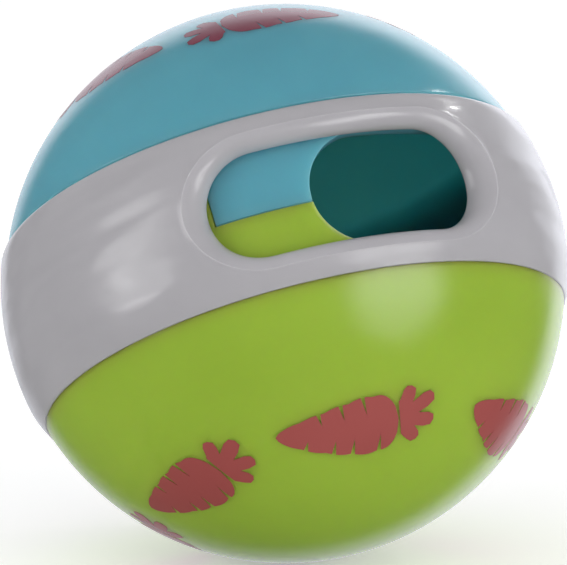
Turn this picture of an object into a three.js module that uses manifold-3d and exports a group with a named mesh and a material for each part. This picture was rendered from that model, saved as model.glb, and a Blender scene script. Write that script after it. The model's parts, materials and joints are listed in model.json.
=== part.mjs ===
// Treat dispensing ball for small pets: two half shells that push together at the equator, and a ring that
// turns round their necks. The ring's window slides over the hole in the necks, which sets how wide the way
// out is. Millimetres and degrees, +Z up. The ball lies on a floor at z = 0, its axis leaning back and left.
import * as THREE from "three";
import { mergeVertices, toCreasedNormals } from "three/addons/utils/BufferGeometryUtils.js";
import Module from "manifold-3d";

const wasm = await Module();
wasm.setup();

// Half shells: a spherical cap, a shoulder that the ring runs against, and a neck inside the ring
const shellRadius = 34.4;
const shellWall = 2.0;
const shoulderWidth = 1.4;
const shoulderRound = 0.4;
const neckWall = 1.9;

// Turning ring, and its clearances to the necks and to the shoulders
const ringProud = 0.6;
const ringHeight = 21.5;
const ringEdgeRound = 0.6;
const runningGap = 0.5;
const seatGap = 0.3;

// Window with round ends in the ring, measured on its bore, with a rounded lip that flares to the outer face
const windowLength = 33.5;
const windowBorder = 4.2;
const lipFlare = 2.0;
const lipSweep = 72;

// Hole with round ends through the necks, half of it in each shell: how far it stands back from the window
const holeMargin = 0.5;

// Seam between the necks: beside the hole it steps, and tabs of each half stand in recesses of the other
const seamGap = 0.3;
const seamStep = 0.7;
const seamJog = 4.0;
const tabAngle = 64.7;
const tabSpan = 22;
const tabHeight = 4.6;
const tabDraft = 0.2;

// Tongues behind the tabs, which reach past the seam inside the other half's neck
const tongueReach = 3.5;
const tongueRoot = 3.0;
const tongueWall = 1.2;
const tongueGap = 0.3;
const tongueInset = 1.5;

// How the ball lies, and how far the ring is turned from fully open
const leanBack = 28.05;
const leanLeft = 13.95;
const holeTurn = 52.49;
const ringTurn = 24.1;

// Facets
const turnFacets = 72;
const capFacets = 10;
const chamberFacets = 8;
const ringArcFacets = 8;
const roundFacets = 3;
const slotEndFacets = 7;
const slotSideFacets = 6;
const lipFacets = 5;
const seamFacet = 6;
const creaseAngle = 25;
const weldDistance = 1e-4;

// How far a cutting solid stands past what it cuts
const cutMargin = 1.5;

const rad = THREE.MathUtils.degToRad;
const shoulderHeight = ringHeight / 2 + seatGap;
const neckRadius = Math.sqrt(shellRadius ** 2 - shoulderHeight ** 2) - shoulderWidth;
const neckBore = neckRadius - neckWall;
const chamberRadius = shellRadius - shellWall;
const ringRadius = shellRadius + ringProud;
const ringBore = neckRadius + runningGap;
const windowHeight = ringHeight - 2 * windowBorder;
const holeLength = windowLength + 2 * holeMargin;
const holeHeight = windowHeight + 2 * holeMargin;
const tabStart = rad(tabAngle - tabSpan / 2);
const tabEnd = rad(tabAngle + tabSpan / 2);

// A closed geometry as a solid, with shared corners merged and empty triangles left out
function solidOf(geometry) {
  const bare = new THREE.BufferGeometry().setAttribute("position", geometry.getAttribute("position"));
  bare.setIndex(geometry.index);
  const merged = mergeVertices(bare, weldDistance);
  const corners = merged.index.array;
  const kept = [];
  for (let i = 0; i < corners.length; i += 3) {
    const [a, b, c] = corners.slice(i, i + 3);
    if (a !== b && b !== c && c !== a) kept.push(a, b, c);
  }
  return new wasm.Manifold(
    new wasm.Mesh({
      numProp: 3,
      vertProperties: merged.getAttribute("position").array,
      triVerts: new Uint32Array(kept),
    }),
  );
}

function geometryOf(solid) {
  const mesh = solid.getMesh();
  const geometry = new THREE.BufferGeometry();
  geometry.setAttribute("position", new THREE.BufferAttribute(mesh.vertProperties, mesh.numProp));
  geometry.setIndex(new THREE.BufferAttribute(mesh.triVerts, 1));
  return toCreasedNormals(geometry, rad(creaseAngle));
}

// A closed surface from a list of points and a list of faces with four corners each
function closedSurface(points, faces) {
  const geometry = new THREE.BufferGeometry();
  geometry.setAttribute("position", new THREE.Float32BufferAttribute(points.flat(), 3));
  geometry.setIndex(faces.flatMap(([a, b, c, d]) => [a, b, c, a, c, d]));
  return solidOf(geometry);
}

// A profile of radius and height, turned about Z
function turned(profile) {
  return solidOf(new THREE.LatheGeometry(profile, turnFacets).rotateX(Math.PI / 2));
}

// A point at an angle about Z
function polar(radius, angle, height) {
  return [radius * Math.cos(angle), radius * Math.sin(angle), height];
}

// Points of a profile on an arc, both ends included
function arc(centreRadius, centreHeight, radius, from, to, steps) {
  return Array.from({ length: steps + 1 }, (_, i) => {
    const angle = from + ((to - from) * i) / steps;
    const [across, up] = [radius * Math.cos(angle), radius * Math.sin(angle)];
    return new THREE.Vector2(centreRadius + across, centreHeight + up);
  });
}

// The round from a sphere to a flat face that cuts it at a height.
// side is 1 where the material lies under the face and -1 where it lies over it.
function edgeRound(sphere, height, round, side) {
  const centreHeight = height - side * round;
  const centreRadius = Math.sqrt((sphere - round) ** 2 - centreHeight ** 2);
  const toSphere = Math.atan2(centreHeight, centreRadius);
  return arc(centreRadius, centreHeight, round, toSphere, (side * Math.PI) / 2, roundFacets);
}

// A slot with round ends through a wall that is round about Z, its middle at angle 0, measured at the bore.
// layers runs from inside to outside: the radius at a height, and how much wider the slot is there.
function slot(bore, length, height, layers) {
  const endRadius = height / 2;
  const endPlace = length / 2 - endRadius;
  const quarter = Array.from({ length: slotEndFacets + 1 }, (_, i) => (i * Math.PI) / 2 / slotEndFacets);
  const straight = Array.from({ length: slotSideFacets - 1 }, (_, i) => (2 * (i + 1)) / slotSideFacets - 1);
  const columns = [
    ...quarter.map((angle) => [-1, Math.PI - angle]),
    ...straight.map((place) => [place, Math.PI / 2]),
    ...quarter.map((angle) => [1, angle]).reverse(),
  ];
  const last = columns.length - 1;
  const outline = [
    ...columns.map(([place, angle]) => [place, angle, -1]),
    ...columns.slice(1, last).reverse().map(([place, angle]) => [place, angle, 1]),
  ];
  const loop = outline.length;
  const points = layers.flatMap(({ radiusAt, wider }) =>
    outline.map(([place, angle, side]) => {
      const end = endRadius + wider;
      const along = (place * endPlace + end * Math.cos(angle)) / bore;
      const up = side * end * Math.sin(angle);
      return polar(radiusAt(up), along, up);
    }),
  );
  const faces = [];
  for (let base = 0; base < points.length - loop; base += loop)
    for (let i = 0; i < loop; i++) {
      const next = (i + 1) % loop;
      faces.push([base + i, base + next, base + loop + next, base + loop + i]);
    }
  const outer = points.length - loop;
  for (let i = 0; i < last; i++) {
    const under = [i, i + 1];
    const over = [(loop - i) % loop, loop - i - 1];
    faces.push([under[0], over[0], over[1], under[1]]);
    faces.push([outer + under[0], outer + under[1], outer + over[1], outer + over[0]]);
  }
  return closedSurface(points, faces);
}

// The lower half's share of the neck, up to the seam and half the gap beyond it, as a ring round Z. The seam
// is the same after half a turn about Z, and upside down the same after half a turn about the hole's axis.
function belowSeam() {
  const grow = seamGap / 2;
  const steps = [
    [-tabEnd, 0, tabHeight, tabDraft],
    [-tabStart, tabHeight, -seamStep, tabDraft],
    [0, -seamStep, seamStep, seamJog],
    [tabStart, seamStep, -tabHeight, tabDraft],
    [tabEnd, -tabHeight, 0, tabDraft],
  ];
  const corners = [0, Math.PI].flatMap((turn) =>
    steps.flatMap(([angle, from, to, run]) => {
      const place = turn + angle + (to > from ? -grow : grow) / neckRadius;
      const halfRun = run / 2 / neckRadius;
      return [
        [place - halfRun, from + grow],
        [place + halfRun, to + grow],
      ];
    }),
  );
  corners.push([corners[0][0] + 2 * Math.PI, corners[0][1]]);
  const columns = corners.slice(0, -1).flatMap(([angle, height], i) => {
    const [nextAngle, nextHeight] = corners[i + 1];
    const parts = Math.ceil((nextAngle - angle) / rad(seamFacet));
    return Array.from({ length: parts }, (_, k) => [
      angle + ((nextAngle - angle) * k) / parts,
      height + ((nextHeight - height) * k) / parts,
    ]);
  });
  const inner = neckBore - cutMargin;
  const outer = neckRadius + cutMargin;
  const floor = -tabHeight - seamGap - 2 * cutMargin;
  const points = columns.flatMap(([angle, height]) => [
    polar(inner, angle, floor),
    polar(outer, angle, floor),
    polar(outer, angle, height),
    polar(inner, angle, height),
  ]);
  const faces = columns.flatMap((_, i) => {
    const here = 4 * i;
    const next = 4 * ((i + 1) % columns.length);
    return [0, 1, 2, 3].map((k) => [here + k, next + k, next + ((k + 1) % 4), here + ((k + 1) % 4)]);
  });
  return closedSurface(points, faces);
}

// A wedge from the axis outwards between two angles
function wedge(from, to, low, high) {
  const reach = 2 * shellRadius;
  const [right, left] = [from, to].map((angle) => new THREE.Vector2(...polar(reach, angle)));
  const outline = new THREE.Shape([new THREE.Vector2(0, 0), right, left]);
  const prism = new THREE.ExtrudeGeometry(outline, { depth: high - low, bevelEnabled: false });
  return solidOf(prism.translate(0, 0, low));
}

// The two tongues of the upper half, rooted in its tabs
function tongues() {
  const outer = neckBore - tongueGap;
  const inner = outer - tongueWall;
  const rooted = neckBore + neckWall / 2;
  const tabFoot = -tabHeight + seamGap;
  const top = tabFoot + tongueRoot;
  const bottom = -tabHeight - tongueReach;
  const profile = [
    [inner, bottom],
    [outer, bottom],
    [outer, tabFoot],
    [rooted, tabFoot],
    [rooted, top],
    [inner, top],
    [inner, bottom],
  ].map(([radius, height]) => new THREE.Vector2(radius, height));
  const inset = tongueInset / neckRadius;
  const ring = turned(profile);
  const [one, other] = [0, Math.PI].map((turn) => {
    const from = turn + tabStart + inset;
    const to = turn + tabEnd - inset;
    return ring.intersect(wedge(from, to, bottom - cutMargin, top + cutMargin));
  });
  return one.add(other);
}

function halfShell() {
  const neckFoot = -tabHeight - cutMargin;
  const shoulderEdge = edgeRound(shellRadius, shoulderHeight, shoulderRound, -1);
  const edgeAngle = Math.atan2(shoulderEdge[0].y, shoulderEdge[0].x);
  const boreAngle = Math.acos(neckBore / chamberRadius);
  const profile = [
    ...arc(0, 0, chamberRadius, Math.PI / 2, boreAngle, chamberFacets),
    new THREE.Vector2(neckBore, neckFoot),
    new THREE.Vector2(neckRadius, neckFoot),
    new THREE.Vector2(neckRadius, shoulderHeight),
    ...shoulderEdge.reverse(),
    ...arc(0, 0, shellRadius, edgeAngle, Math.PI / 2, capFacets).slice(1),
  ];
  profile[0].x = 0;
  profile[profile.length - 1].x = 0;
  const holeLayers = [neckBore - cutMargin, neckRadius + cutMargin].map((radius) => ({
    radiusAt: () => radius,
    wider: 0,
  }));
  const hole = slot(neckRadius, holeLength, holeHeight, holeLayers);
  return turned(profile).subtract(belowSeam()).subtract(hole).add(tongues());
}

function dispenserRing() {
  const halfHeight = ringHeight / 2;
  const upperEdge = edgeRound(ringRadius, halfHeight, ringEdgeRound, 1);
  const edgeAngle = Math.atan2(upperEdge[0].y, upperEdge[0].x);
  const lowerEdge = upperEdge.map((p) => new THREE.Vector2(p.x, -p.y)).reverse();
  const profile = [
    new THREE.Vector2(ringBore, -halfHeight),
    ...lowerEdge,
    ...arc(0, 0, ringRadius, -edgeAngle, edgeAngle, ringArcFacets).slice(1, -1),
    ...upperEdge,
    new THREE.Vector2(ringBore, halfHeight),
    new THREE.Vector2(ringBore, -halfHeight),
  ];
  const outside = (height) => Math.sqrt(ringRadius ** 2 - height ** 2);
  const sweep = rad(lipSweep);
  const lip = Array.from({ length: lipFacets + 1 }, (_, i) => {
    const angle = (sweep * i) / lipFacets;
    const depth = Math.sin(angle) / Math.sin(sweep);
    return {
      radiusAt: (height) => ringBore + depth * (outside(height) - ringBore),
      wider: (lipFlare * (1 - Math.cos(angle))) / (1 - Math.cos(sweep)),
    };
  });
  const layers = [
    { radiusAt: () => ringBore - cutMargin, wider: 0 },
    ...lip,
    { radiusAt: (height) => outside(height) + cutMargin, wider: lipFlare },
  ];
  return turned(profile).subtract(slot(ringBore, windowLength, windowHeight, layers));
}

function piece(name, solid, color, roughness) {
  const material = new THREE.MeshStandardMaterial({ color, roughness, metalness: 0 });
  const mesh = new THREE.Mesh(geometryOf(solid), material);
  mesh.name = name;
  return mesh;
}

// Both halves are one moulding: the lower one is turned half a turn about the axis of the hole
const moulding = halfShell();
const upperShell = piece("upper_shell", moulding, 0x5a9baa, 0.22);
const lowerShell = piece("lower_shell", moulding, 0x91ac3c, 0.22);
const ring = piece("dispenser_ring", dispenserRing(), 0xaaa8ac, 0.25);
lowerShell.rotation.x = Math.PI;
ring.rotation.z = -rad(ringTurn);

const ball = new THREE.Group();
ball.add(upperShell, lowerShell, ring);
ball.rotation.set(-rad(leanBack), -rad(leanLeft), -rad(holeTurn));
ball.position.z = shellRadius;

const part = new THREE.Group();
part.add(ball);
export default part;
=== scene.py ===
# Treat dispensing ball for small pets: two printed half shells and a ring with a lipped window round them.
import json
import math

import bpy
from mathutils import Euler, Matrix, Vector


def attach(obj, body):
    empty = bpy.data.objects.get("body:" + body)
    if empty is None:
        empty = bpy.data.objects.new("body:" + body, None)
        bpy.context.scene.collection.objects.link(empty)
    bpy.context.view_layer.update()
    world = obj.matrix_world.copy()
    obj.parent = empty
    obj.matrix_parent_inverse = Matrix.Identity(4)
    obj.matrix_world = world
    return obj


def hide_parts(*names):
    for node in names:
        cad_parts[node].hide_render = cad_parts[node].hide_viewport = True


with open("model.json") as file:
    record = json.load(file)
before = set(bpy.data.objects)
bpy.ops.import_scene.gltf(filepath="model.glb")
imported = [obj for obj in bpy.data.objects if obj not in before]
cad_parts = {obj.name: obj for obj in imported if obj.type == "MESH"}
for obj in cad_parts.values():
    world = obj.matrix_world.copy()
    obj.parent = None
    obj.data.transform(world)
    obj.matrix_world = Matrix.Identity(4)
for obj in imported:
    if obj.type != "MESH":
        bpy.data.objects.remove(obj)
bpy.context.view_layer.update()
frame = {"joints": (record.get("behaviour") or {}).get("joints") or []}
print("frame loaded")

mm = 0.001  # pieces are modelled in millimetres round the ball's middle, then put on the frame
weld = 0.008  # millimetres
squarely = 0.9  # how much of a normal points along the ball's axis where a face looks that way

ballLay = {
    "holeTurn": 52.49,  # degrees, how the hole lies round the ball's axis
    "ringTurn": 24.1,  # degrees, how far the ring is turned from fully open
}

turnJoint = next(joint for joint in frame["joints"] if joint["name"] == "ring_turn")
ballCentre = Vector(turnJoint["pos_m"])
ballAxis = Vector(turnJoint["axis"]).normalized()
leanBack = math.atan2(ballAxis.y, ballAxis.z)
leanLeft = math.asin(-ballAxis.x)
ballTurn = Euler((-leanBack, -leanLeft, -math.radians(ballLay["holeTurn"])), "ZYX").to_matrix()
ballPlace = Matrix.Translation(ballCentre) @ ballTurn.to_4x4() @ Matrix.Scale(mm, 4)

shell = {
    "radius": ballCentre.z / mm,  # the ball touches the floor
    "wall": 2.0,
    "shoulderWidth": 1.4,
    "shoulderRound": 0.18,
    "lowerShoulderRound": 0.04,
    "neckWall": 1.9,
    "rimRound": 0.08,
    "capRows": 60,
    "chamberRows": 40,
    "neckRows": 10,
    "roundRows": 6,
}

ring = {
    "proud": 0.6,
    "height": 21.5,
    "upperRound": (1.1, 0.5),  # along the face and along the end
    "lowerRound": (0.1, 0.1),
    "lowerEase": 0.5,  # how far the face draws in towards its lower edge, and from how far off
    "easeRun": 3.5,
    "runningGap": 0.5,
    "seatGap": 0.3,
    "lowerSeatGap": 0.02,  # the ring lies on the lower half
    "columns": 288,
    "cornerSteps": 14,  # steps in an eighth of the window's round end
    "sideSteps": 36,  # steps along a straight side of the window
}

shoulderHeight = ring["height"] / 2 + ring["seatGap"]
neckRadius = math.sqrt(shell["radius"] ** 2 - shoulderHeight ** 2) - shell["shoulderWidth"]
neckBore = neckRadius - shell["neckWall"]
ringBore = neckRadius + ring["runningGap"]
ringRadius = shell["radius"] + ring["proud"]


def only(piece):
    bpy.ops.object.select_all(action="DESELECT")
    piece.select_set(True)
    bpy.context.view_layer.objects.active = piece


def named(name):
    piece = bpy.context.object
    piece.name = name
    piece.data.name = name
    return piece


def polar(radius, angle, height):
    return Vector((radius * math.cos(angle), radius * math.sin(angle), height))


def arc(centre, radius, start, end, steps):
    turns = [start + (end - start) * i / steps for i in range(steps + 1)]
    return [Vector((centre[0] + radius * math.cos(a), 0, centre[1] + radius * math.sin(a))) for a in turns]


# the round from a sphere to a flat face that cuts it; side is 1 with the material under the face, -1 over it
def edgeRound(sphere, height, rounding, side, steps):
    centreHeight = height - side * rounding
    centreRadius = math.sqrt((sphere - rounding) ** 2 - centreHeight ** 2)
    toSphere = math.atan2(centreHeight, centreRadius)
    return arc((centreRadius, centreHeight), rounding, toSphere, side * math.pi / 2, steps)


# a curve that cuts a corner of a profile
def softCorner(before, corner, after, steps):
    shares = [i / steps for i in range(steps + 1)]
    return [before.lerp(corner, share).lerp(corner.lerp(after, share), share) for share in shares]


def heal(piece):
    only(piece)
    bpy.ops.object.mode_set(mode="EDIT")
    bpy.ops.mesh.select_all(action="SELECT")
    bpy.ops.mesh.remove_doubles(threshold=weld)
    bpy.ops.mesh.normals_make_consistent(inside=False)
    bpy.ops.object.mode_set(mode="OBJECT")


# a plane shrunk to one corner, extruded along a profile and spun round the ball's axis
def turnProfile(name, profile, steps):
    bpy.ops.object.select_all(action="DESELECT")
    bpy.ops.mesh.primitive_plane_add(size=1, location=(0, 0, 0))
    piece = named(name)
    bpy.ops.object.mode_set(mode="EDIT")
    bpy.ops.mesh.select_mode(type="VERT")
    bpy.ops.mesh.select_all(action="SELECT")
    bpy.ops.mesh.merge(type="CENTER")
    bpy.ops.transform.translate(value=profile[0])
    for here, there in zip(profile, profile[1:]):
        bpy.ops.mesh.extrude_region_move(TRANSFORM_OT_translate={"value": there - here})
    bpy.ops.mesh.select_all(action="SELECT")
    bpy.ops.mesh.spin(steps=steps, angle=math.tau, center=(0, 0, 0), axis=(0, 0, 1))
    bpy.ops.object.mode_set(mode="OBJECT")
    heal(piece)
    return piece


# ends in edit mode with the faces selected that the test on their middle and normal picks
def pickFaces(piece, test):
    only(piece)
    bpy.ops.object.mode_set(mode="EDIT")
    bpy.ops.mesh.select_mode(type="FACE")
    bpy.ops.mesh.select_all(action="DESELECT")
    bpy.ops.object.mode_set(mode="OBJECT")
    for face in piece.data.polygons:
        face.select = test(face.center, face.normal)
    bpy.ops.object.mode_set(mode="EDIT")


# what was made last, and is still selected, becomes part of a piece
def joinTo(piece):
    piece.select_set(True)
    bpy.context.view_layer.objects.active = piece
    bpy.ops.object.join()


def copyPiece(piece, name):
    only(piece)
    bpy.ops.object.duplicate(linked=False)
    return named(name)


# from the ball's own place to the frame, with nothing left on the object
def putOnBall(piece, turn=Matrix.Identity(4)):
    piece.matrix_world = ballPlace @ turn
    only(piece)
    bpy.ops.object.transform_apply(location=True, rotation=True, scale=True)


seam = {
    "gap": 0.16,
    "step": 0.7,
    "jog": 4.0,
    "tabAngle": 64.7,  # degrees from the middle of the hole
    "tabSpan": 22,
    "tabHeight": 4.6,
    "tabDraft": 0.2,
    "pitch": 0.8,
}

hole = {"length": 34.5, "height": 14.1, "draft": 0.03, "arcSteps": 18}

tongue = {
    "gap": 0.3,
    "wall": 1.2,
    "reach": 3.5,
    "root": 3.0,
    "inset": 1.5,
    "rounding": 0.15,
    "roundSteps": 2,
}


# the hole's edge over one half's neck, from the seam on its left, which dips under the hole's middle,
# to the seam on its right
def holeArch(left, right):
    radius = hole["height"] / 2
    reach = hole["length"] / 2 - radius
    foot = (-hole["length"] / 2 - hole["draft"], left)
    leftArc = arc((-reach, 0), radius, math.pi, math.pi / 2, hole["arcSteps"])
    rightArc = arc((reach, 0), radius, math.pi / 2, math.asin(right / radius), hole["arcSteps"])
    return [foot] + [(point.x, point.z) for point in leftArc + rightArc]


# the free edge of the neck laid flat: how far round it and how high each point is
def neckEdge():
    half = seam["gap"] / 2
    tabStart = math.radians(seam["tabAngle"] - seam["tabSpan"] / 2) * neckRadius
    tabEnd = math.radians(seam["tabAngle"] + seam["tabSpan"] / 2) * neckRadius
    steps = (
        (-tabEnd, 0, seam["tabHeight"], seam["tabDraft"]),
        (-tabStart, seam["tabHeight"], -seam["step"], seam["tabDraft"]),
        (0, -seam["step"], seam["step"], seam["jog"]),
        (tabStart, seam["step"], -seam["tabHeight"], seam["tabDraft"]),
        (tabEnd, -seam["tabHeight"], 0, seam["tabDraft"]),
    )
    corners = []
    for turn in (-math.pi * neckRadius, 0):
        for along, before, after, run in steps:
            if turn == 0 and along == 0:
                corners += holeArch(half + before, half + after)
                continue
            place = turn + along + (-half if after > before else half)
            corners += [(place - run / 2, half + before), (place + run / 2, half + after)]
    closing = (corners[0][0] + math.tau * neckRadius, corners[0][1])
    edge = []
    for here, there in zip(corners, corners[1:] + [closing]):
        parts = max(1, round((there[0] - here[0]) / seam["pitch"]))
        edge += [Vector(here).lerp(Vector(there), i / parts) for i in range(parts)]
    return edge


# for each point of the edge, the way into the material, mitred at corners
def edgeInward(edge):
    around = Vector((math.tau * neckRadius, 0))
    inward = []
    for i, point in enumerate(edge):
        before = edge[i - 1] if i else edge[-1] - around
        after = edge[i + 1] if i + 1 < len(edge) else edge[0] + around
        runs = [(point - before).normalized(), (after - point).normalized()]
        one, other = [Vector((-run.y, run.x)) for run in runs]
        inward.append((one + other) / (1 + one.dot(other)))
    return inward


# the spun neck ends level: each column is turned to its point of the real edge and drawn down or up to it
def shapeNeck(piece, edge, shoulderFace):
    inward = edgeInward(edge)
    step = math.tau / len(edge)
    rim = shell["rimRound"]
    for vertex in piece.data.vertices:
        column = round(math.atan2(vertex.co.y, vertex.co.x) / step) % len(edge)
        spot = Vector((edge[column].x, vertex.co.z))
        if vertex.co.z < shoulderFace - weld:
            foot = edge[column] + inward[column] * min(vertex.co.z, rim)
            share = max(0, vertex.co.z - rim) / (shoulderFace - rim)
            spot = foot.lerp(Vector((edge[column].x, shoulderFace)), share)
        vertex.co = polar(vertex.co.xy.length, spot.x / neckRadius, spot.y)


# two blocks grow out of the tabs' inner side, and a tongue out of the foot of each
def growTongues(piece):
    middle = math.radians(seam["tabAngle"])
    halfSpan = math.radians(seam["tabSpan"] / 2) - tongue["inset"] / neckRadius
    foot = -seam["tabHeight"] + seam["gap"]
    top = foot + tongue["root"]

    def inTongue(point):
        angle = math.atan2(point.y, point.x)
        return any(abs(math.remainder(angle - middle - turn, math.tau)) < halfSpan for turn in (0, math.pi))

    def onTab(point, normal):
        return point.xy.length < neckBore + weld and foot < point.z < top and inTongue(point)

    pickFaces(piece, onTab)
    radii = (neckBore, neckBore - tongue["gap"], neckBore - tongue["gap"] - tongue["wall"])
    for wider, narrower in zip(radii, radii[1:]):
        bpy.ops.mesh.extrude_region_move()
        shrink = narrower / wider
        bpy.ops.transform.resize(value=(shrink, shrink, 1), center_override=(0, 0, 0))
    bpy.ops.object.mode_set(mode="OBJECT")
    inner = (radii[1] + radii[2]) / 2

    def onFoot(point, normal):
        faceDown = normal.z < -squarely and point.z < 0
        return faceDown and abs(point.xy.length - inner) < tongue["wall"] / 2 and inTongue(point)

    pickFaces(piece, onFoot)
    drop = tongue["reach"] + seam["gap"] / 2 + shell["rimRound"]
    bpy.ops.mesh.extrude_region_move(TRANSFORM_OT_translate={"value": (0, 0, -drop)})
    bpy.ops.mesh.region_to_loop()
    bpy.ops.mesh.bevel(offset=tongue["rounding"], segments=tongue["roundSteps"])
    bpy.ops.object.mode_set(mode="OBJECT")


def halfShell(name, seatGap, shoulderRound):
    edge = neckEdge()
    outer, chamber, rim = shell["radius"], shell["radius"] - shell["wall"], shell["rimRound"]
    shoulderFace = ring["height"] / 2 + seatGap
    shoulder = edgeRound(outer, shoulderFace, shoulderRound, -1, shell["roundRows"])
    neckRise = [rim + (shoulderFace - rim) * i / shell["neckRows"] for i in range(1, shell["neckRows"] + 1)]
    profile = [
        *arc((0, 0), chamber, math.pi / 2, math.acos(neckBore / chamber), shell["chamberRows"]),
        *[Vector((neckBore, 0, height)) for height in reversed(neckRise)],
        *arc((neckBore + rim, rim), rim, math.pi, math.pi * 1.5, shell["roundRows"]),
        *arc((neckRadius - rim, rim), rim, math.pi * 1.5, math.tau, shell["roundRows"]),
        *[Vector((neckRadius, 0, height)) for height in neckRise],
        *reversed(shoulder),
        *arc((0, 0), outer, math.atan2(shoulder[0].z, shoulder[0].x), math.pi / 2, shell["capRows"])[1:],
    ]
    piece = turnProfile(name, profile, len(edge))
    shapeNeck(piece, edge, shoulderFace)
    growTongues(piece)
    return piece


window = {
    "length": 33.5,
    "border": 4.2,
    "flare": 2.0,
    "sweep": 72,  # degrees of the lip's round
    "innerRound": 0.25,
    "crease": 0.14,  # width of the fine edge round the lip, and how far it stands up
    "creaseRise": 0.06,
    "boreRows": 5,
    "innerRows": 4,
    "lipRows": 14,
    "faceRows": 7,
}


# where a loop round the window runs: on the stadium, and on the rectangle of faces cut out of the ring
def windowStations():
    corner, side = ring["cornerSteps"], ring["sideSteps"]
    eighth = math.pi / 4 / corner
    topEdge = 2 * corner + side
    half = []
    for i in range(topEdge):
        place = min(1, max(-1, 2 * (i - corner) / side - 1))
        bend = max(0, corner - i) - max(0, i - corner - side)
        half.append((place, math.pi / 2 + bend * eighth, 2 * i / topEdge - 1, 1))
    for i in range(2 * corner):
        half.append((1, math.pi / 4 - i * eighth, 1, 1 - i / corner))
    other = [(-place, angle + math.pi, -across, -up) for place, angle, across, up in half]
    return half + other


# rows of the window's patch, from the bore over the lip to the outer face:
# share of the way to the rectangle, how much wider than the window, share of the wall
def windowRows(wallThickness):
    inner = window["innerRound"]
    sweep = math.radians(window["sweep"])
    rows = [(1 - i / window["boreRows"], inner, 0) for i in range(window["boreRows"])]
    for i in range(window["innerRows"]):
        turn = math.pi / 2 * i / window["innerRows"]
        rows.append((0, inner * (1 - math.sin(turn)), inner * (1 - math.cos(turn)) / wallThickness))
    start = inner / wallThickness
    lipEnd = 1 - window["crease"] / window["flare"]
    for i in range(window["lipRows"] + 1):
        turn = sweep * lipEnd * i / window["lipRows"]
        wider = window["flare"] * (1 - math.cos(turn)) / (1 - math.cos(sweep))
        rows.append((0, wider, start + (1 - start) * math.sin(turn) / math.sin(sweep)))
    rows.append((0, window["flare"], 1 + window["creaseRise"] / wallThickness))
    outer = window["flare"] + window["crease"]
    rows += [(i / window["faceRows"], outer, 1) for i in range(window["faceRows"] + 1)]
    return rows


def outsideAt(height):
    eased = max(0, ring["easeRun"] - ring["height"] / 2 - height) / ring["easeRun"]
    return math.sqrt(ringRadius ** 2 - height ** 2) - ring["lowerEase"] * eased ** 2


# side is 1 at the ring's upper edge and -1 at its lower one
def ringEdge(side, rounding):
    along, across = rounding
    end = side * ring["height"] / 2
    start = end - side * along
    corner = Vector((outsideAt(end), 0, end))
    before = Vector((outsideAt(start), 0, start))
    return softCorner(before, corner, corner - Vector((across, 0, 0)), shell["roundRows"])


# the window's patch: a grid laid round the window, its rows running from the bore to the outer face
def windowPatch(faceHeight, halfLength):
    stations = windowStations()
    rows = windowRows(ringRadius - ringBore)
    endRadius = ring["height"] / 2 - window["border"]
    endPlace = window["length"] / 2 - endRadius
    bpy.ops.object.select_all(action="DESELECT")
    bpy.ops.mesh.primitive_grid_add(x_subdivisions=len(stations), y_subdivisions=len(rows) - 1, size=1)
    patch = named("window_patch")
    for vertex in patch.data.vertices:
        station = round((vertex.co.x + 0.5) * len(stations)) % len(stations)
        place, angle, across, up = stations[station]
        share, wider, depth = rows[round((vertex.co.y + 0.5) * (len(rows) - 1))]
        halfHeight = ring["height"] / 2 if depth == 0 else faceHeight
        end = endRadius + wider
        onWindow = Vector((place * endPlace + end * math.cos(angle), end * math.sin(angle)))
        spot = onWindow.lerp(Vector((across * halfLength, up * halfHeight)), share)
        radius = ringBore + depth * (outsideAt(spot.y) - ringBore)
        vertex.co = polar(radius, spot.x / ringBore, spot.y)


def dispenserRing(name):
    top = ring["height"] / 2
    faceRows = 2 * ring["cornerSteps"]
    upper = ringEdge(1, ring["upperRound"])
    lower = ringEdge(-1, ring["lowerRound"])
    faceHeight = upper[0].z
    faceRise = [faceHeight * (2 * i / faceRows - 1) for i in range(faceRows)]
    boreRise = [top * (1 - 2 * i / faceRows) for i in range(faceRows + 1)]
    profile = [
        Vector((ringBore, 0, -top)),
        *reversed(lower),
        *[Vector((outsideAt(height), 0, height)) for height in faceRise],
        *upper,
        *[Vector((ringBore, 0, height)) for height in boreRise],
    ]
    piece = turnProfile(name, profile, ring["columns"])
    halfTurn = (ring["cornerSteps"] + ring["sideSteps"] / 2) * math.tau / ring["columns"]

    def atWindow(point, normal):
        ahead = abs(math.atan2(point.y, point.x)) < halfTurn
        onBore = point.xy.length < ringBore + weld and abs(normal.z) < squarely
        onFace = point.xy.length > ringBore + weld and abs(point.z) < faceHeight
        return ahead and (onBore or onFace)

    pickFaces(piece, atWindow)
    bpy.ops.mesh.delete(type="FACE")
    bpy.ops.object.mode_set(mode="OBJECT")
    windowPatch(faceHeight, halfTurn * ringBore)
    joinTo(piece)
    heal(piece)
    return piece


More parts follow.
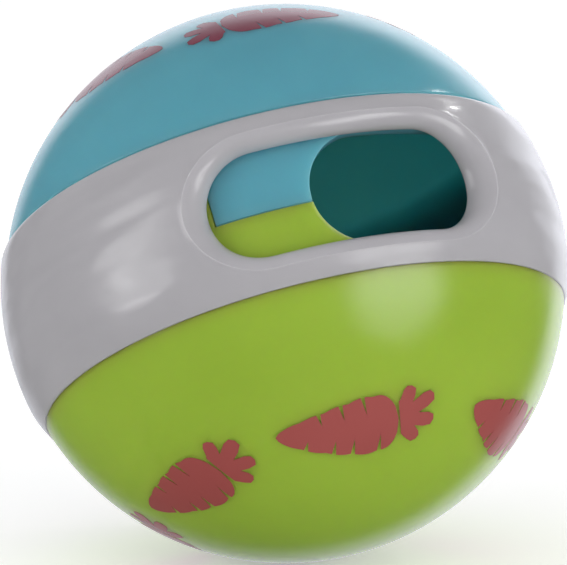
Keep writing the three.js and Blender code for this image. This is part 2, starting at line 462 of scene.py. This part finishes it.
carrot = {
    "rootLength": 15.2,
    "rootHalf": 4.7,
    "tipPower": 0.58,  # how bluntly the root starts at its tip and ends at the leaves
    "endPower": 8,
    "lobes": 5,
    "lobeSwell": 0.07,
    "rootSteps": 48,
    # share of the root's length, and side
    "nicks": ((0.24, 1), (0.46, 1), (0.61, 1), (0.82, 1), (0.36, -1), (0.54, -1), (0.72, -1)),
    "nickWidth": 0.5,
    "nickDepth": 0.6,
    "nickLean": 0.35,
    "nickRoom": 0.75,  # share of a nick's width, on each side of it, that has no other point of the outline
    "leafBase": 15.36,  # from the tip to the foot of the leaves
    "leafFoot": 2.3,
    "leafReach": (4.4, 5.3, 4.9, 4.2),  # how far each leaf fans out
    "leafValley": 2.5,
    "leafFan": 42,  # degrees from leaf to leaf
    # share of the way to the next leaf, and of the way from valley to tip
    "leafShape": ((0, 0), (0.16, 0.62), (0.3, 0.93), (0.5, 1), (0.72, 0.9), (0.86, 0.5)),
    "cell": 1.0,
    "ink": 0.05,
}


# a carrot lying along x with its tip at 0: a root with nicks in its sides, and a tuft of blunt leaves
def rootHalfWidth(share):
    lobe = 1 + carrot["lobeSwell"] * abs(math.sin(math.pi * carrot["lobes"] * share))
    taper = share ** carrot["tipPower"] * math.sqrt(max(0, 1 - share ** carrot["endPower"]))
    return carrot["rootHalf"] * lobe * taper


def rootSide(sign):
    length = carrot["rootLength"]
    width = carrot["nickWidth"] / length
    lean = carrot["nickLean"] / length
    nicks = [share for share, side in carrot["nicks"] if side == sign]
    stretches = []
    for i in range(1, carrot["rootSteps"]):
        share = i / carrot["rootSteps"]
        if all(abs(share - nick) > carrot["nickRoom"] * width for nick in nicks):
            stretches.append((share, [(share, rootHalfWidth(share))]))
    for nick in nicks:
        mouth = [(place, rootHalfWidth(place)) for place in (nick - width / 2, nick + width / 2)]
        deep = (nick + lean, rootHalfWidth(nick) * (1 - carrot["nickDepth"]))
        stretches.append((nick, [mouth[0], deep, mouth[1]]))
    return [(share * length, sign * half) for _, points in sorted(stretches) for share, half in points]


def rootOutline():
    return [(0, 0), *rootSide(-1), (carrot["rootLength"], 0), *reversed(rootSide(1))]


def leafOutline():
    base, foot, valley = carrot["leafBase"], carrot["leafFoot"], carrot["leafValley"]
    points = [(base, foot), (base, -foot)]
    for i, tip in enumerate(carrot["leafReach"]):
        for along, rise in carrot["leafShape"]:
            angle = math.radians((i + along - len(carrot["leafReach"]) / 2) * carrot["leafFan"])
            reach = valley + (tip - valley) * rise
            points.append((base + reach * math.cos(angle), reach * math.sin(angle)))
    return points


# a filled disc whose rim takes an outline
def flatInk(name, outline):
    bpy.ops.object.select_all(action="DESELECT")
    bpy.ops.mesh.primitive_circle_add(vertices=len(outline), radius=1, fill_type="NGON")
    piece = named(name)
    for vertex, point in zip(piece.data.vertices, outline):
        vertex.co = (*point, 0)
    return piece


# small cells, so that the flat ink can bend
def cutIntoCells(reach):
    cuts = math.ceil(reach / carrot["cell"])
    bpy.ops.object.mode_set(mode="EDIT")
    bpy.ops.mesh.select_all(action="SELECT")
    bpy.ops.mesh.quads_convert_to_tris()
    for i in range(-cuts, cuts + 1):
        for normal in ((1, 0, 0), (0, 1, 0)):
            bpy.ops.mesh.select_all(action="SELECT")
            bpy.ops.mesh.bisect(plane_co=Vector(normal) * (i + 0.5) * carrot["cell"], plane_no=normal)
    bpy.ops.object.mode_set(mode="OBJECT")


# the carrot wrapped on the ball at its equator, tip to the right, and given its thickness
def carrotPrint(name):
    piece = flatInk(name, rootOutline())
    flatInk("leaves", leafOutline())
    joinTo(piece)
    reach = carrot["leafBase"] + max(carrot["leafReach"])
    cutIntoCells(reach)
    for vertex in piece.data.vertices:
        spot = Vector((shell["radius"], reach / 2 - vertex.co.x, vertex.co.y))
        vertex.co = spot.normalized() * (shell["radius"] + carrot["ink"] / 2)
    if sum(face.normal.dot(face.center) for face in piece.data.polygons) < 0:
        bpy.ops.object.mode_set(mode="EDIT")
        bpy.ops.mesh.select_all(action="SELECT")
        bpy.ops.mesh.flip_normals()
        bpy.ops.object.mode_set(mode="OBJECT")
    bpy.ops.object.modifier_add(type="SOLIDIFY")
    piece.modifiers[-1].thickness = carrot["ink"]
    piece.modifiers[-1].offset = -1
    bpy.ops.object.modifier_apply(modifier=piece.modifiers[-1].name)
    return piece


# sRGB from 0 to 255 to the linear colour that a socket takes
def linear(red, green, blue):
    shares = [value / 255 for value in (red, green, blue)]
    return (*[v / 12.92 if v <= 0.04045 else ((v + 0.055) / 1.055) ** 2.4 for v in shares], 1)


def addNode(tree, kind, **values):
    node = tree.nodes.new(kind)
    for name, value in values.items():
        node.inputs[name].default_value = value
    return node


# a number taken from one range to another
def remap(tree, number, fromRange, toRange=(0, 1), curve="LINEAR"):
    node = tree.nodes.new("ShaderNodeMapRange")
    node.interpolation_type = curve
    for name, limit in zip(("From Min", "From Max", "To Min", "To Max"), (*fromRange, *toRange)):
        node.inputs[name].default_value = limit
    tree.links.new(number, node.inputs["Value"])
    return node.outputs["Result"]


# the noises of every finish: how fine and how stretched each is, and which part of its range is used
patterns = {
    "driftScale": 38,
    "driftRange": (0.3, 0.7),
    "scuffScale": 160,
    "scuffTurn": (0.4, 0.7, 0.3),
    "scuffStretch": (1, 14, 5),
    "scuffRange": (0.35, 0.75),
    "waveScale": 70,
    "waveStretch": (1, 1, 0.31),  # the waves are long round the ball and short along its axis
    "grainScale": 2400,
    "grainDepth": 0.00003,  # metres
}


# moulded plastic: colour that drifts a little, faint flow waves, fine grain and hairline scuffs in the gloss
def mouldedPlastic(name, finish):
    material = bpy.data.materials.new(name)
    material.use_nodes = True
    tree = material.node_tree
    link = tree.links.new
    shader = tree.nodes["Principled BSDF"]
    shader.inputs["IOR"].default_value = finish["ior"]
    shader.inputs["Subsurface Weight"].default_value = finish["milkiness"]
    shader.inputs["Subsurface Scale"].default_value = finish["milkDepth"]
    shader.inputs["Subsurface Radius"].default_value = finish["milkTint"]
    place = tree.nodes.new("ShaderNodeTexCoord").outputs["Object"]

    drift = addNode(tree, "ShaderNodeTexNoise", Scale=patterns["driftScale"], Detail=3, Roughness=0.5)
    shades = tree.nodes.new("ShaderNodeValToRGB")
    colours = (finish["deep"], finish["light"])
    for stop, share, colour in zip(shades.color_ramp.elements, patterns["driftRange"], colours):
        stop.position = share
        stop.color = linear(*colour)
    link(place, drift.inputs["Vector"])
    link(drift.outputs["Fac"], shades.inputs["Fac"])
    link(shades.outputs["Color"], shader.inputs["Base Color"])

    scuffTurn, scuffStretch = patterns["scuffTurn"], patterns["scuffStretch"]
    scuffLay = addNode(tree, "ShaderNodeMapping", Rotation=scuffTurn, Scale=scuffStretch)
    scuffs = addNode(tree, "ShaderNodeTexNoise", Scale=patterns["scuffScale"], Detail=4, Roughness=0.6)
    link(place, scuffLay.inputs["Vector"])
    link(scuffLay.outputs["Vector"], scuffs.inputs["Vector"])
    gloss = remap(tree, scuffs.outputs["Fac"], patterns["scuffRange"], finish["roughness"])
    link(gloss, shader.inputs["Roughness"])

    waveLay = addNode(tree, "ShaderNodeMapping", Rotation=ballTurn.to_euler(), Scale=patterns["waveStretch"])
    waveLay.vector_type = "TEXTURE"
    waves = addNode(tree, "ShaderNodeTexNoise", Scale=patterns["waveScale"], Detail=1)
    grain = addNode(tree, "ShaderNodeTexNoise", Scale=patterns["grainScale"], Detail=2)
    flow = addNode(tree, "ShaderNodeBump", Strength=1, Distance=finish["waves"])
    skin = addNode(tree, "ShaderNodeBump", Strength=finish["grain"], Distance=patterns["grainDepth"])
    link(place, waveLay.inputs["Vector"])
    link(waveLay.outputs["Vector"], waves.inputs["Vector"])
    link(place, grain.inputs["Vector"])
    link(waves.outputs["Fac"], flow.inputs["Height"])
    link(grain.outputs["Fac"], skin.inputs["Height"])
    link(flow.outputs["Normal"], skin.inputs["Normal"])
    link(skin.outputs["Normal"], shader.inputs["Normal"])
    return material


turquoise = {
    "deep": (90, 157, 174),
    "light": (98, 167, 183),
    "roughness": (0.2, 0.215),
    "ior": 1.47,
    "milkiness": 1.0,  # light that sinks into the wall, how deep in metres and how deep each colour
    "milkDepth": 0.007,
    "milkTint": (0.76, 1.0, 0.85),
    "waves": 0.00008,  # metres
    "grain": 0.05,
}
lime = {**turquoise, "deep": (146, 175, 59), "light": (154, 184, 65)}
lightGrey = {
    **turquoise,
    "deep": (170, 168, 172),
    "light": (178, 176, 180),
    "roughness": (0.17, 0.21),
    "milkDepth": 0.002,
    "milkTint": (1, 1, 1),
    "waves": 0.0007,
}
inkOnLime = {
    **turquoise,
    "deep": (150, 69, 67),
    "light": (160, 78, 75),
    "roughness": (0.26, 0.27),
    "milkiness": 0,
    "grain": 0.04,
}
shadedInkOnTurquoise = {**inkOnLime, "deep": (119, 50, 68), "light": (129, 58, 76)}  # darker and bluer than the ink on the lime half: painted shade and a painted bluish reflection for the top of the ball

smoothAngle = math.radians(32)  # edges sharper than this stay sharp


def finishPiece(piece, body, material):
    piece.data.materials.clear()
    piece.data.materials.append(material)
    only(piece)
    bpy.ops.object.shade_smooth_by_angle(angle=smoothAngle)
    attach(piece, body)


turquoisePlastic = mouldedPlastic("turquoise_plastic", turquoise)
limePlastic = mouldedPlastic("lime_plastic", lime)
greyPlastic = mouldedPlastic("grey_plastic", lightGrey)
limeInk = mouldedPlastic("ink_on_lime", inkOnLime)
shadedTurquoiseInk = mouldedPlastic("shaded_ink_on_turquoise", shadedInkOnTurquoise)
print("materials ready")

halfOver = Matrix.Rotation(math.pi, 4, "X")  # the lower half is the upper one turned about the hole's axis

upperHalf = halfShell("turquoise_half", ring["seatGap"], shell["shoulderRound"])
lowerHalf = halfShell("lime_half", ring["lowerSeatGap"], shell["lowerShoulderRound"])
putOnBall(upperHalf)
putOnBall(lowerHalf, halfOver)
finishPiece(upperHalf, "upper_shell", turquoisePlastic)
finishPiece(lowerHalf, "lower_shell", limePlastic)
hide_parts("upper_shell")
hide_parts("lower_shell")
print("half shells done")

greyRing = dispenserRing("grey_ring")
putOnBall(greyRing, Matrix.Rotation(-math.radians(ballLay["ringTurn"]), 4, "Z"))
finishPiece(greyRing, "dispenser_ring", greyPlastic)
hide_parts("dispenser_ring")
print("ring done")

# degrees from the hole to the first carrot, from each carrot to the next, and from the ring towards the pole
prints = {
    "count": 6,
    "upper": {"start": -28, "step": -58, "latitude": 51.5},
    "lower": {"start": 31, "step": 59, "latitude": 50},
}


def printPlace(half, i):
    turn = math.radians(half["start"] + half["step"] * i)
    return Matrix.Rotation(turn, 4, "Z") @ Matrix.Rotation(-math.radians(half["latitude"]), 4, "Y")


pattern = carrotPrint("carrot_pattern")
for i in range(prints["count"]):
    onUpper = copyPiece(pattern, f"upper_carrot_{i + 1}")
    putOnBall(onUpper, printPlace(prints["upper"], i))
    finishPiece(onUpper, "upper_shell", shadedTurquoiseInk)
    onLower = copyPiece(pattern, f"lower_carrot_{i + 1}")
    putOnBall(onLower, halfOver @ printPlace(prints["lower"], i))
    finishPiece(onLower, "lower_shell", limeInk)
bpy.data.objects.remove(pattern)
print("carrots printed")

studio = {
    "floorSize": 8.0,
    "floorColour": 0.94,
    "floorGlow": 0.36,  # lifts the floor to white for the camera and leaves the shadow
    "ambient": (0.82, 0.55),  # light from all round and from straight above
    "glossTint": (0.94, 0.96, 1.03, 1),
    "glossFront": 0.1,  # how bright the gloss sees the room, and its far wall at the low left and high right
    "glossWall": (0.42, 1.85),
    "wallRise": {"axis": (0.64, 0, 0.77), "from": (-0.65, 0.35)},
    "wallWay": (0, 0.985, -0.174),
    "wallEdge": (0.68, 0.87),  # cosines of the angles from the wall's middle at which it starts and is full
    "wallEnds": (
        {"axis": (1, 0, 0), "from": (-0.6, -0.3), "more": (-0.15, 0)},  # less of the wall on the left
        {"axis": (0.88, 0, 0.47), "from": (0.53, 0.61), "more": (0, 0.08)},  # more of it at the high right
    ),
}


# how far a way points along an axis
def alongAxis(tree, way, axis):
    node = tree.nodes.new("ShaderNodeVectorMath")
    node.operation = "DOT_PRODUCT"
    node.inputs[1].default_value = axis
    tree.links.new(way, node.inputs[0])
    return node.outputs["Value"]


def combine(tree, operation, one, other):
    node = tree.nodes.new("ShaderNodeMath")
    node.operation = operation
    tree.links.new(one, node.inputs[0])
    tree.links.new(other, node.inputs[1])
    return node.outputs["Value"]


# from one strength to another as the share goes from 0 to 1; each is a number or what a node gives
def mixed(tree, share, before, after):
    node = tree.nodes.new("ShaderNodeMix")
    tree.links.new(share, node.inputs["Factor"])
    for name, strength in (("A", before), ("B", after)):
        if isinstance(strength, bpy.types.NodeSocket):
            tree.links.new(strength, node.inputs[name])
        else:
            node.inputs[name].default_value = strength
    return node.outputs["Result"]


# 1 for what the camera sees, straight or through something clear
def cameraSees(tree, rays):
    return combine(tree, "MAXIMUM", rays["Is Camera Ray"], rays["Is Transmission Ray"])


# light from the room: even and white to the camera, and to the gloss a dark room with a bright wall behind
def roomLight():
    world = bpy.data.worlds.new("room")
    bpy.context.scene.world = world
    world.use_nodes = True
    tree = world.node_tree
    link = tree.links.new
    back = tree.nodes["Background"]
    way = tree.nodes.new("ShaderNodeTexCoord").outputs["Generated"]
    rays = tree.nodes.new("ShaderNodeLightPath").outputs

    rise = studio["wallRise"]
    wall = remap(tree, alongAxis(tree, way, rise["axis"]), rise["from"], studio["glossWall"])
    reach = alongAxis(tree, way, studio["wallWay"])
    for wallEnd in studio["wallEnds"]:
        more = remap(tree, alongAxis(tree, way, wallEnd["axis"]), wallEnd["from"], wallEnd["more"])
        reach = combine(tree, "ADD", reach, more)
    behind = remap(tree, reach, studio["wallEdge"], curve="SMOOTHSTEP")
    gloss = mixed(tree, behind, studio["glossFront"], wall)

    sky = remap(tree, alongAxis(tree, way, (0, 0, 1)), (0, 1), studio["ambient"])
    plain = mixed(tree, cameraSees(tree, rays), sky, 1)  # a strength of 1 is white
    link(mixed(tree, rays["Is Glossy Ray"], plain, gloss), back.inputs["Strength"])

    tint = addNode(tree, "ShaderNodeMixRGB", Color1=(1, 1, 1, 1), Color2=studio["glossTint"])
    link(rays["Is Glossy Ray"], tint.inputs["Fac"])
    link(tint.outputs["Color"], back.inputs["Color"])


# matt and pale, lifted to white for the camera; the gloss sees the room past it
def paleFloor():
    bpy.ops.object.select_all(action="DESELECT")
    bpy.ops.mesh.primitive_plane_add(size=studio["floorSize"])
    floor = named("floor")
    floor.visible_glossy = False
    material = bpy.data.materials.new("pale_floor")
    material.use_nodes = True
    tree = material.node_tree
    link = tree.links.new
    tree.nodes.remove(tree.nodes["Principled BSDF"])
    matt = addNode(tree, "ShaderNodeBsdfDiffuse", Color=(*[studio["floorColour"]] * 3, 1))
    glow = tree.nodes.new("ShaderNodeEmission")
    both = tree.nodes.new("ShaderNodeAddShader")
    rays = tree.nodes.new("ShaderNodeLightPath").outputs
    lift = remap(tree, cameraSees(tree, rays), (0, 1), (0, studio["floorGlow"]))
    link(lift, glow.inputs["Strength"])
    link(matt.outputs["BSDF"], both.inputs[0])
    link(glow.outputs["Emission"], both.inputs[1])
    link(both.outputs["Shader"], tree.nodes["Material Output"].inputs["Surface"])
    floor.data.materials.append(material)


# soft boxes, brightest in the middle: where each stands, its sides in metres and its power in watts
lamps = {
    "right": {"place": (0.64, -0.62, 0.12), "size": (0.84, 0.78), "power": 9.4},
    "left": {"place": (-0.76, -0.38, 0.23), "size": (0.6, 0.8), "power": 4.2},
    "low_left": {"place": (-0.78, -0.44, 0.06), "size": (0.36, 0.18), "power": 0.6},
    "rim": {"place": (0.62, 0.53, 0.64), "size": (0.07, 0.06), "power": 0.8},
}
boxFade = (0.25, 0.5)  # how far from its middle a box starts to fade and is dark, as shares of its sides


def softBox(name, lamp):
    aim = (ballCentre - Vector(lamp["place"])).to_track_quat("-Z", "Y")
    bpy.ops.object.light_add(type="AREA", location=lamp["place"], rotation=aim.to_euler())
    box = named(name)
    box.data.shape = "RECTANGLE"
    box.data.size, box.data.size_y = lamp["size"]
    box.data.energy = lamp["power"]
    box.data.use_nodes = True
    tree = box.data.node_tree
    link = tree.links.new
    sheet = tree.nodes.new("ShaderNodeNewGeometry")
    fromMiddle = tree.nodes.new("ShaderNodeVectorMath")
    fromMiddle.operation = "DISTANCE"
    fromMiddle.inputs[1].default_value = (0.5, 0.5, 0)
    link(sheet.outputs["Parametric"], fromMiddle.inputs[0])
    fade = remap(tree, fromMiddle.outputs["Value"], boxFade, (1, 0), curve="SMOOTHSTEP")
    link(fade, tree.nodes["Emission"].inputs["Strength"])


roomLight()
paleFloor()
for name, lamp in lamps.items():
    softBox(f"{name}_light", lamp)
print("studio ready")

camera = {
    "distance": 0.5917,  # metres from the ball's middle
    "elevation": 10,  # degrees
    "lens": 305.0,
    "nearest": 0.01,
    "aimLeft": 0.00019,  # the ball sits a little right of and below the middle of the picture
    "aimUp": 0.00012,
}

tilt = math.radians(camera["elevation"])
aim = ballCentre + Vector((-camera["aimLeft"], 0, camera["aimUp"]))
back = Vector((0, -math.cos(tilt), math.sin(tilt)))
bpy.ops.object.camera_add(location=aim + back * camera["distance"], rotation=(math.pi / 2 - tilt, 0, 0))
view = named("camera")
view.data.lens = camera["lens"]
view.data.clip_start = camera["nearest"]
bpy.context.scene.camera = view
bpy.context.scene.view_settings.view_transform = "Standard"
print("camera set")
